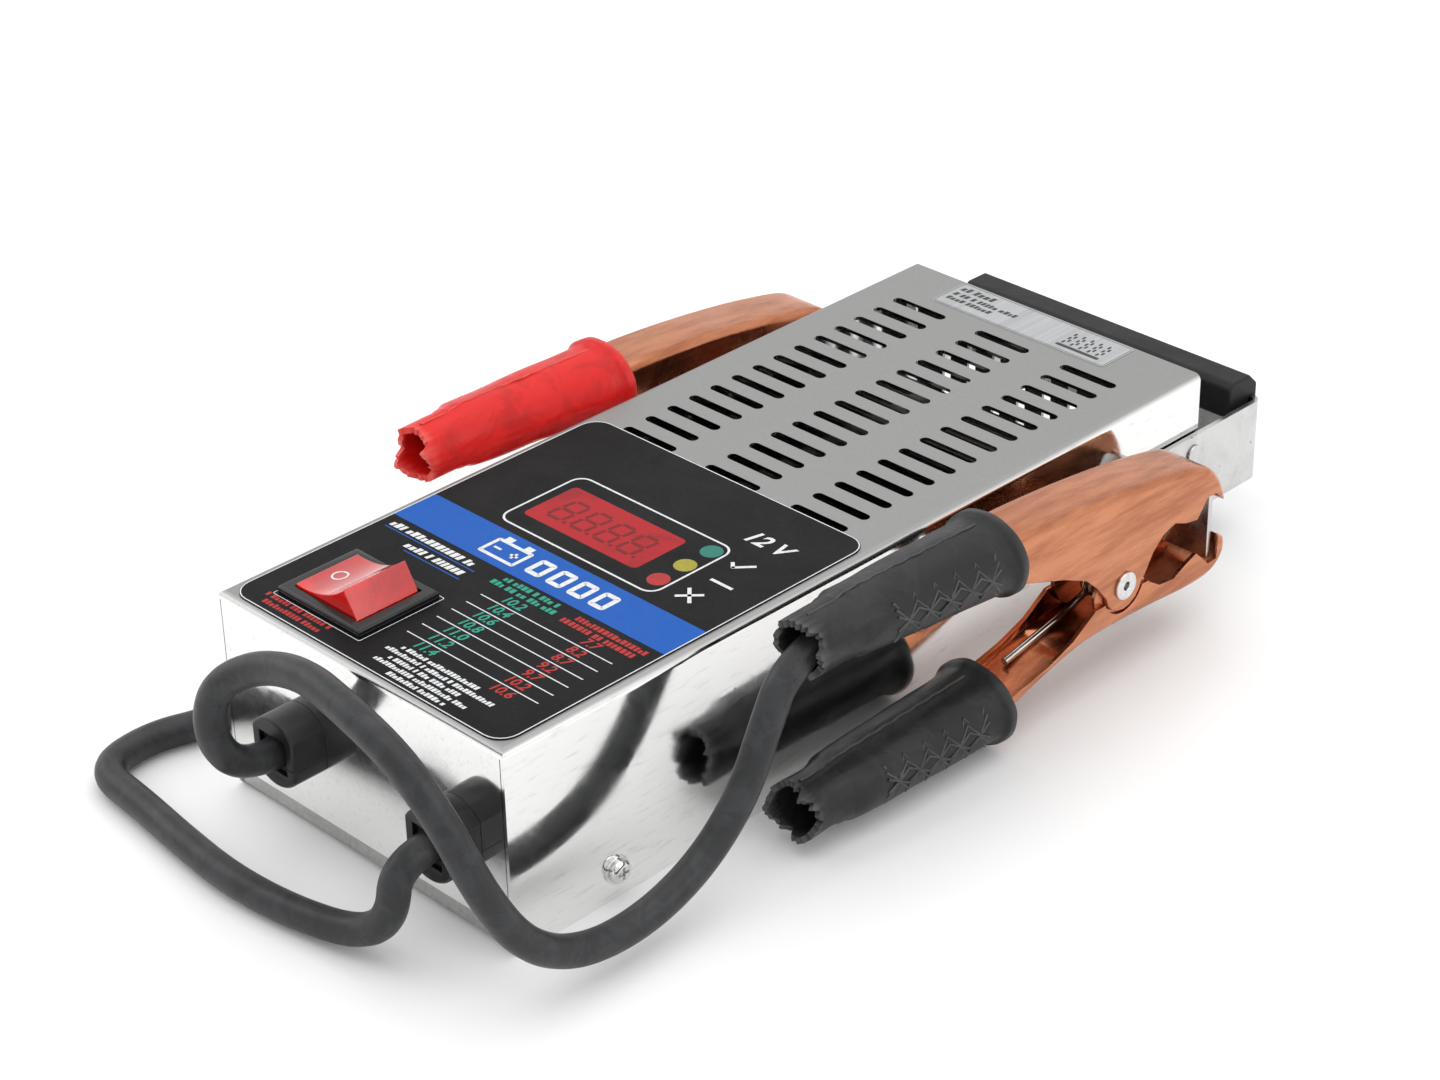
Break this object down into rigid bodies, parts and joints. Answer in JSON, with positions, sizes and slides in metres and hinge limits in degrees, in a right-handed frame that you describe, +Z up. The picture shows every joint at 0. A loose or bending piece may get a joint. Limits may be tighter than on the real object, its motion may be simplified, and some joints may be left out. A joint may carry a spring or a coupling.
{
  "type": "battery load tester",
  "caption": "Hand-held battery load tester: sheet-metal case with vents, printed front, rocker switch, rear carrying handle and cables ending in sprung copper clamps.",
  "frame": {"origin": "under the middle of the case and its handle, on the surface it stands on", "axes": "+X across the case towards the black clamp, +Y from the cable glands to the handle, +Z up"},
  "size_m": [0.1676, 0.3172, 0.0738],
  "materials": {
    "satin_sheet": "satin stainless sheet, bright at the bends",
    "bright_fastener": "bright plated steel",
    "plated_strip": "dull zinc-plated strip",
    "black_rubber": "matt black rubber",
    "printed_film": "printed polyester film",
    "red_window": "dark red clear plastic",
    "lamp_red": "translucent red",
    "lamp_amber": "translucent yellow",
    "lamp_green": "translucent green",
    "silver_film": "silver foil sticker",
    "black_gloss": "black moulded nylon",
    "red_rocker": "translucent red",
    "tinned_brass": "plain brass",
    "board_laminate": "green solder mask",
    "module_plastic": "grey moulding",
    "chip_plastic": "black epoxy",
    "resistance_strip": "heat-tinted alloy strip",
    "insulator_board": "unglazed ceramic",
    "black_matte": "black nylon",
    "black_sheath": "soft black sheath",
    "copper_plate": "copper-plated steel",
    "spring_wire": "plated spring wire",
    "black_sleeve": "soft black vinyl",
    "red_sleeve": "soft red vinyl"
  },
  "bodies": {
    "tester": {"base_tray": "satin_sheet", "black_cable": "black_sheath", "black_clamp_rivet": "bright_fastener", "black_clamp_upper": "copper_plate", "black_gland_lower": "black_matte", "black_gland_upper": "black_matte", "black_inner_lead": "black_sheath", "black_sleeve_upper": "black_sleeve", "black_spring_leg": "spring_wire", "board_components": "chip_plastic", "board_nuts": "bright_fastener", "board_studs": "bright_fastener", "bus_bar_line": "tinned_brass", "bus_bar_load": "tinned_brass", "case_screws": "bright_fastener", "circuit_board": "board_laminate", "cover": "satin_sheet", "display_lens": "red_window", "display_module": "module_plastic", "front_overlay": "printed_film", "handle_grip": "black_rubber", "handle_strap": "plated_strip", "heat_sticker": "silver_film", "insulator_rail_left": "insulator_board", "insulator_rail_right": "insulator_board", "lamp_window_amber": "lamp_amber", "lamp_window_green": "lamp_green", "lamp_window_red": "lamp_red", "load_ribbon": "resistance_strip", "red_cable": "black_sheath", "red_clamp_lower": "copper_plate", "red_clamp_rivet": "bright_fastener", "red_clamp_spring": "spring_wire", "red_gland_lower": "black_matte", "red_gland_upper": "black_matte", "red_inner_lead": "black_sheath", "red_sleeve_lower": "red_sleeve", "screw_washers": "bright_fastener", "status_leds": "module_plastic", "strap_rivets": "bright_fastener", "switch_housing": "black_gloss", "switch_spades": "tinned_brass"},
    "rocker": {"switch_rocker": "red_rocker"},
    "black_lower_jaw": {"black_clamp_lower": "copper_plate", "black_clamp_spring": "spring_wire", "black_sleeve_lower": "black_sleeve"},
    "red_upper_jaw": {"red_clamp_upper": "copper_plate", "red_spring_leg": "spring_wire", "red_sleeve_upper": "red_sleeve"}
  },
  "joints": [
    {"name": "rocker_tilt", "type": "hinge", "parent": "tester", "child": "rocker", "pos_m": [-0.0246, -0.1148, 0.0559], "axis": [0, 1, 0], "range_deg": [0, 34], "stiffness_Nm_per_rad": 0.02, "springref_deg": -17.19},
    {"name": "black_clamp_open", "type": "hinge", "parent": "tester", "child": "black_lower_jaw", "pos_m": [0.07, 0.0547, 0.0291], "axis": [-1, 0, 0], "range_deg": [0, 13], "stiffness_Nm_per_rad": 1.2, "springref_deg": -57.3},
    {"name": "red_clamp_open", "type": "hinge", "parent": "tester", "child": "red_upper_jaw", "pos_m": [-0.07, 0.0547, 0.0291], "axis": [1, 0, 0], "range_deg": [0, 13], "stiffness_Nm_per_rad": 1.2, "springref_deg": -57.3}
  ]
}
